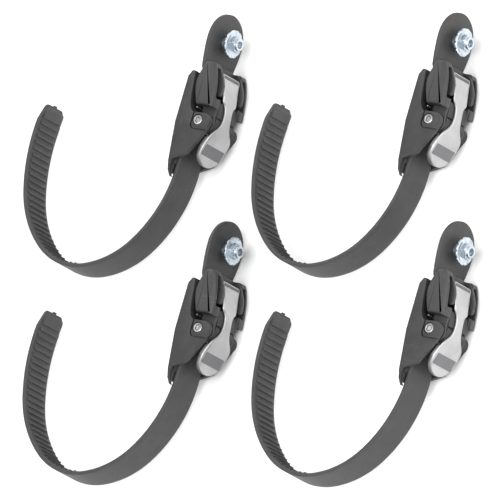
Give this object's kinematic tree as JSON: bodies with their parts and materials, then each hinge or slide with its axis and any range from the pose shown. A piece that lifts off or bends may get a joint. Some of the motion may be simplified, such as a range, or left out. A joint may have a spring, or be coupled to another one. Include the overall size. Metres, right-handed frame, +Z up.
{
  "type": "ratchet buckle wheel strap set",
  "caption": "Moulded ladder straps with ratchet buckles and bolted tongues, for tying a wheel, pole or post to a rack.",
  "frame": {"origin": "middle of the set's bounding box, on the surface the straps stand on", "axes": "+X out of the straps' outer faces at the buckles, +Y along the straps towards the bolted tongues, +Z up, across the strap width"},
  "size_m": [0.3798, 0.3542, 0.041],
  "materials": {
    "strap_plastic": "fine moulded texture, dark grey",
    "buckle_plastic": "fine moulded texture, dark grey",
    "handle_plastic": "satin moulded, dark grey",
    "lever_steel": "satin, light",
    "band_print": "matt textured band",
    "zinc_steel": "bright zinc plate",
    "screw_steel": "bright",
    "pawl_steel": "plain",
    "spring_steel": "drawn wire"
  },
  "bodies": {
    "strap_1": {"strap_1_strap_band": "strap_plastic", "strap_1_buckle_frame": "buckle_plastic", "strap_1_frame_rivets": "zinc_steel", "strap_1_pivot_screw": "screw_steel", "strap_1_pivot_nut": "screw_steel", "strap_1_handle_spring": "spring_steel", "strap_1_mount_bolt": "zinc_steel", "strap_1_flanged_bush": "zinc_steel", "strap_1_flange_nut": "zinc_steel"},
    "handle_1": {"strap_1_handle": "handle_plastic"},
    "pawl_1": {"strap_1_drive_pawl": "pawl_steel"},
    "release_1": {"strap_1_lever_plate": "lever_steel", "strap_1_lever_core": "buckle_plastic", "strap_1_grip_band": "band_print"},
    "strap_2": {"strap_2_strap_band": "strap_plastic", "strap_2_buckle_frame": "buckle_plastic", "strap_2_frame_rivets": "zinc_steel", "strap_2_pivot_screw": "screw_steel", "strap_2_pivot_nut": "screw_steel", "strap_2_handle_spring": "spring_steel", "strap_2_mount_bolt": "zinc_steel", "strap_2_flanged_bush": "zinc_steel", "strap_2_flange_nut": "zinc_steel"},
    "handle_2": {"strap_2_handle": "handle_plastic"},
    "pawl_2": {"strap_2_drive_pawl": "pawl_steel"},
    "release_2": {"strap_2_lever_plate": "lever_steel", "strap_2_lever_core": "buckle_plastic", "strap_2_grip_band": "band_print"},
    "strap_3": {"strap_3_strap_band": "strap_plastic", "strap_3_buckle_frame": "buckle_plastic", "strap_3_frame_rivets": "zinc_steel", "strap_3_pivot_screw": "screw_steel", "strap_3_pivot_nut": "screw_steel", "strap_3_handle_spring": "spring_steel", "strap_3_mount_bolt": "zinc_steel", "strap_3_flanged_bush": "zinc_steel", "strap_3_flange_nut": "zinc_steel"},
    "handle_3": {"strap_3_handle": "handle_plastic"},
    "pawl_3": {"strap_3_drive_pawl": "pawl_steel"},
    "release_3": {"strap_3_lever_plate": "lever_steel", "strap_3_lever_core": "buckle_plastic", "strap_3_grip_band": "band_print"},
    "strap_4": {"strap_4_strap_band": "strap_plastic", "strap_4_buckle_frame": "buckle_plastic", "strap_4_frame_rivets": "zinc_steel", "strap_4_pivot_screw": "screw_steel", "strap_4_pivot_nut": "screw_steel", "strap_4_handle_spring": "spring_steel", "strap_4_mount_bolt": "zinc_steel", "strap_4_flanged_bush": "zinc_steel", "strap_4_flange_nut": "zinc_steel"},
    "handle_4": {"strap_4_handle": "handle_plastic"},
    "pawl_4": {"strap_4_drive_pawl": "pawl_steel"},
    "release_4": {"strap_4_lever_plate": "lever_steel", "strap_4_lever_core": "buckle_plastic", "strap_4_grip_band": "band_print"}
  },
  "joints": [
    {"name": "handle_1_hinge", "type": "hinge", "parent": "strap_1", "child": "handle_1", "pos_m": [-0.05311, 0.07427, 0.0205], "axis": [0, 0, -1], "range_deg": [0, 60], "stiffness_Nm_per_rad": 0.02, "springref_deg": -20.05},
    {"name": "pawl_1_hinge", "type": "hinge", "parent": "handle_1", "child": "pawl_1", "pos_m": [-0.05731, 0.07087, 0.0205], "axis": [0, 0, -1], "range_deg": [0, 15], "stiffness_Nm_per_rad": 0.004, "springref_deg": -17.19},
    {"name": "release_1_hinge", "type": "hinge", "parent": "strap_1", "child": "release_1", "pos_m": [-0.05311, 0.07427, 0.0205], "axis": [0, 0, -1], "range_deg": [0, 8], "stiffness_Nm_per_rad": 0.03, "springref_deg": -17.19},
    {"name": "strap_2_lift", "type": "slide", "parent": "strap_1", "child": "strap_2", "axis": [0, 0, 1], "range_m": [0, 0.15]},
    {"name": "handle_2_hinge", "type": "hinge", "parent": "strap_2", "child": "handle_2", "pos_m": [0.13089, 0.09847, 0.0205], "axis": [0, 0, -1], "range_deg": [0, 60], "stiffness_Nm_per_rad": 0.02, "springref_deg": -20.05},
    {"name": "pawl_2_hinge", "type": "hinge", "parent": "handle_2", "child": "pawl_2", "pos_m": [0.12669, 0.09507, 0.0205], "axis": [0, 0, -1], "range_deg": [0, 15], "stiffness_Nm_per_rad": 0.004, "springref_deg": -17.19},
    {"name": "release_2_hinge", "type": "hinge", "parent": "strap_2", "child": "release_2", "pos_m": [0.13089, 0.09847, 0.0205], "axis": [0, 0, -1], "range_deg": [0, 8], "stiffness_Nm_per_rad": 0.03, "springref_deg": -17.19},
    {"name": "strap_3_lift", "type": "slide", "parent": "strap_1", "child": "strap_3", "axis": [0, 0, 1], "range_m": [0, 0.15]},
    {"name": "handle_3_hinge", "type": "hinge", "parent": "strap_3", "child": "handle_3", "pos_m": [-0.00471, -0.06593, 0.0205], "axis": [0, 0, -1], "range_deg": [0, 60], "stiffness_Nm_per_rad": 0.02, "springref_deg": -20.05},
    {"name": "pawl_3_hinge", "type": "hinge", "parent": "handle_3", "child": "pawl_3", "pos_m": [-0.00891, -0.06933, 0.0205], "axis": [0, 0, -1], "range_deg": [0, 15], "stiffness_Nm_per_rad": 0.004, "springref_deg": -17.19},
    {"name": "release_3_hinge", "type": "hinge", "parent": "strap_3", "child": "release_3", "pos_m": [-0.00471, -0.06593, 0.0205], "axis": [0, 0, -1], "range_deg": [0, 8], "stiffness_Nm_per_rad": 0.03, "springref_deg": -17.19},
    {"name": "strap_4_lift", "type": "slide", "parent": "strap_1", "child": "strap_4", "axis": [0, 0, 1], "range_m": [0, 0.15]},
    {"name": "handle_4_hinge", "type": "hinge", "parent": "strap_4", "child": "handle_4", "pos_m": [0.17929, -0.04173, 0.0205], "axis": [0, 0, -1], "range_deg": [0, 60], "stiffness_Nm_per_rad": 0.02, "springref_deg": -20.05},
    {"name": "pawl_4_hinge", "type": "hinge", "parent": "handle_4", "child": "pawl_4", "pos_m": [0.17509, -0.04513, 0.0205], "axis": [0, 0, -1], "range_deg": [0, 15], "stiffness_Nm_per_rad": 0.004, "springref_deg": -17.19},
    {"name": "release_4_hinge", "type": "hinge", "parent": "strap_4", "child": "release_4", "pos_m": [0.17929, -0.04173, 0.0205], "axis": [0, 0, -1], "range_deg": [0, 8], "stiffness_Nm_per_rad": 0.03, "springref_deg": -17.19}
  ]
}
